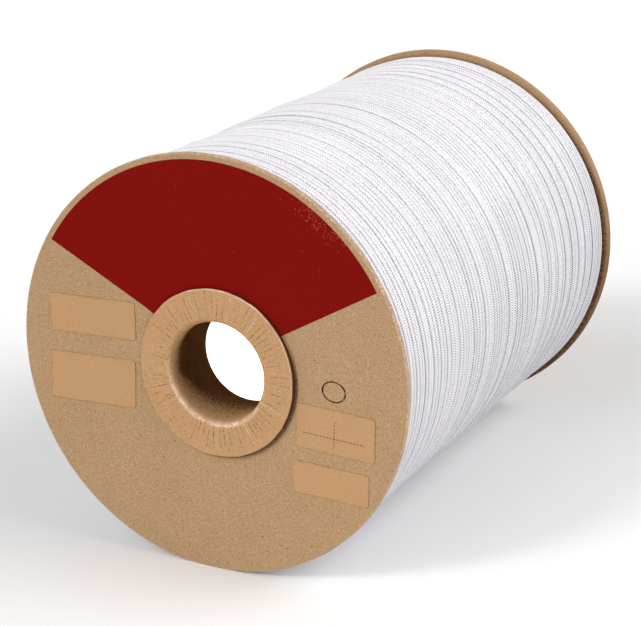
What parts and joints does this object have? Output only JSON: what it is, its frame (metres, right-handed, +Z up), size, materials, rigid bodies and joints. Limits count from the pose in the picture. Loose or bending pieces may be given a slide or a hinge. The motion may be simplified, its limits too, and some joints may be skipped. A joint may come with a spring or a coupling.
{
  "type": "roll of shock cord on a cardboard spool",
  "caption": "Spool of thin braided elastic cord, wound full between two round kraft-board flanges with a through bore.",
  "frame": {"origin": "on the resting plane, under the middle of the spool", "axes": "+Y along the spool's level axis, from the printed flange to the far one; +Z up"},
  "size_m": [0.114, 0.1515, 0.1137],
  "materials": {
    "kraft_board": "matt kraft board",
    "collar_kraft": "smooth matt kraft",
    "tube_paper": "matt white paper",
    "cord": "white braided yarn",
    "label_paper": "smooth kraft paper"
  },
  "bodies": {
    "root": {"flange_front": "kraft_board", "flange_rear": "kraft_board", "hub_front": "collar_kraft", "hub_rear": "collar_kraft", "core_tube": "tube_paper", "wound_cord": "cord", "label_a": "label_paper", "label_b": "label_paper", "label_c": "label_paper", "label_d": "label_paper"}
  },
  "joints": []
}
